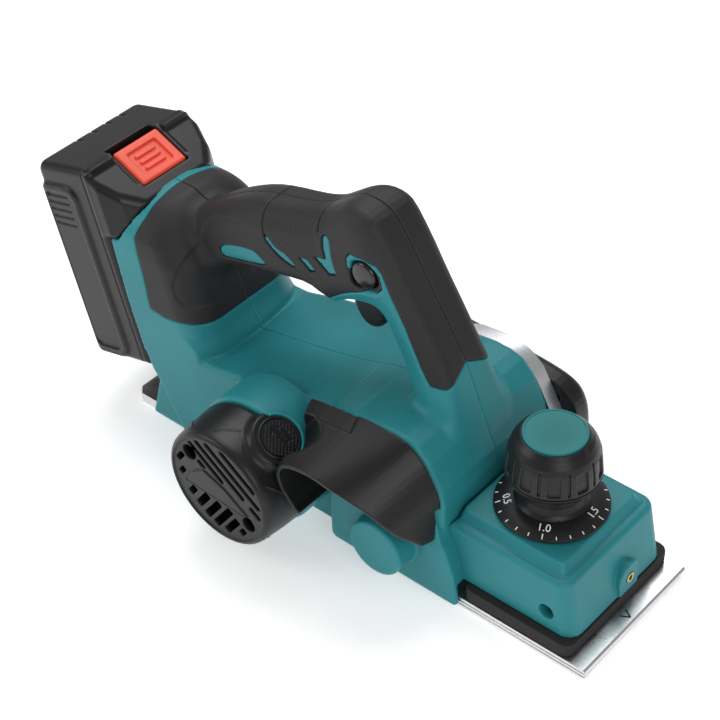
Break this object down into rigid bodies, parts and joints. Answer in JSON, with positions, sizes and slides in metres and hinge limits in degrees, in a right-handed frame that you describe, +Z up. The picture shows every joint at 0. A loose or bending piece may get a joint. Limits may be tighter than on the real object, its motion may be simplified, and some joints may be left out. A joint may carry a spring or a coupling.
{
  "type": "electric hand planer",
  "caption": "Cordless hand planer with a loop handle over a long flat sole, a depth knob on the front shoe, a belt-driven cutter drum, a side motor and chip chute and a slide-on battery.",
  "frame": {"origin": "on the rear sole, at mid-width, 100 mm behind the axis of the cutter drum", "axes": "+X is the direction of planing, +Y the tool's left (belt side), +Z up"},
  "size_m": [0.348, 0.148, 0.1769],
  "materials": {
    "teal_plastic": "moulded, fine grain",
    "black_plastic": "moulded, fine grain",
    "black_rubber": "soft overmould",
    "red_plastic": "moulded",
    "cast_aluminium": "die cast",
    "milled_aluminium": "milled along X",
    "steel": "turned",
    "dark_steel": "blackened",
    "brass": "turned",
    "copper": null,
    "belt_rubber": "ribbed belt",
    "circuit_board": "lacquered",
    "cell_wrap": "shrink-wrapped metal cells"
  },
  "bodies": {
    "root": {"body_shell_right": "teal_plastic", "body_shell_left": "teal_plastic", "grip_overmold_right": "black_rubber", "grip_overmold_left": "black_rubber", "rear_base": "milled_aluminium", "park_foot_pin": "steel", "shoe_gasket": "black_rubber", "front_housing": "teal_plastic", "fence_insert": "brass", "fence_clamp_screw": "dark_steel", "depth_spring": "steel", "drum_frame": "cast_aluminium", "drum_bearing_right": "steel", "drum_bearing_left": "steel", "motor_bearing_right": "steel", "motor_bearing_left": "steel", "bearing_holder": "cast_aluminium", "drive_belt": "belt_rubber", "belt_cover": "black_plastic", "belt_cover_screw_1": "steel", "belt_cover_screw_2": "steel", "belt_cover_screw_3": "steel", "motor_stator": "dark_steel", "motor_housing": "black_plastic", "brush_cap": "black_plastic", "chip_chute": "black_plastic", "trigger_pin": "steel", "switch_module": "black_plastic", "control_board": "circuit_board", "terminal_block": "brass"},
    "shoe": {"front_shoe": "milled_aluminium"},
    "knob": {"depth_knob": "black_plastic", "knob_cap": "teal_plastic", "depth_dial": "black_plastic", "depth_screw": "steel"},
    "drum": {"cutter_drum": "cast_aluminium", "planer_blade_1": "steel", "planer_blade_2": "steel", "blade_clamp_1": "dark_steel", "blade_clamp_2": "dark_steel", "clamp_bolt_1": "steel", "clamp_bolt_2": "steel", "clamp_bolt_3": "steel", "clamp_bolt_4": "steel", "drum_pulley": "dark_steel"},
    "motor": {"motor_rotor": "copper", "motor_fan": "black_plastic", "motor_pulley": "dark_steel"},
    "foot": {"park_foot": "black_plastic"},
    "trigger": {"trigger": "black_plastic"},
    "lock_button": {"lock_off_button": "black_plastic"},
    "battery": {"battery_case_rear": "black_plastic", "battery_case_front": "black_plastic", "cell_pack": "cell_wrap", "battery_board": "circuit_board"},
    "latch": {"battery_latch": "red_plastic"}
  },
  "joints": [
    {"name": "knob_turn", "type": "hinge", "parent": "root", "child": "knob", "pos_m": [0.16, 0, 0.0504], "axis": [0, 0, 1], "range_deg": [-288, 0]},
    {"name": "shoe_slide", "type": "slide", "parent": "root", "child": "shoe", "axis": [0, 0, 1], "range_m": [0, 0.002], "deforming": ["shoe_gasket", "depth_spring"]},
    {"name": "drum_spin", "type": "hinge", "parent": "root", "child": "drum", "pos_m": [0.1, 0, 0.026], "axis": [0, 1, 0], "continuous": true},
    {"name": "motor_spin", "type": "hinge", "parent": "root", "child": "motor", "pos_m": [0.028, 0, 0.042], "axis": [0, 1, 0], "continuous": true},
    {"name": "trigger_pull", "type": "hinge", "parent": "root", "child": "trigger", "pos_m": [0.067, 0, 0.131], "axis": [0, 1, 0], "range_deg": [0, 9]},
    {"name": "lock_off_push", "type": "slide", "parent": "root", "child": "lock_button", "axis": [0, 1, 0], "range_m": [-0.003, 0.003]},
    {"name": "battery_slide", "type": "slide", "parent": "root", "child": "battery", "axis": [-0.2588, 0, 0.9659], "range_m": [0, 0.11]},
    {"name": "latch_slide", "type": "slide", "parent": "battery", "child": "latch", "axis": [-0.9105, 0, 0.4136], "range_m": [0, 0.004]},
    {"name": "foot_swing", "type": "hinge", "parent": "root", "child": "foot", "pos_m": [-0.058, 0, 0.0105], "axis": [0, -1, 0], "range_deg": [0, 25]}
  ],
  "couplings": [
    {"joint": "shoe_slide", "follows": "knob_turn", "m_per_rad": -0.00039788},
    {"joint": "motor_spin", "follows": "drum_spin", "ratio": 1.8889}
  ]
}
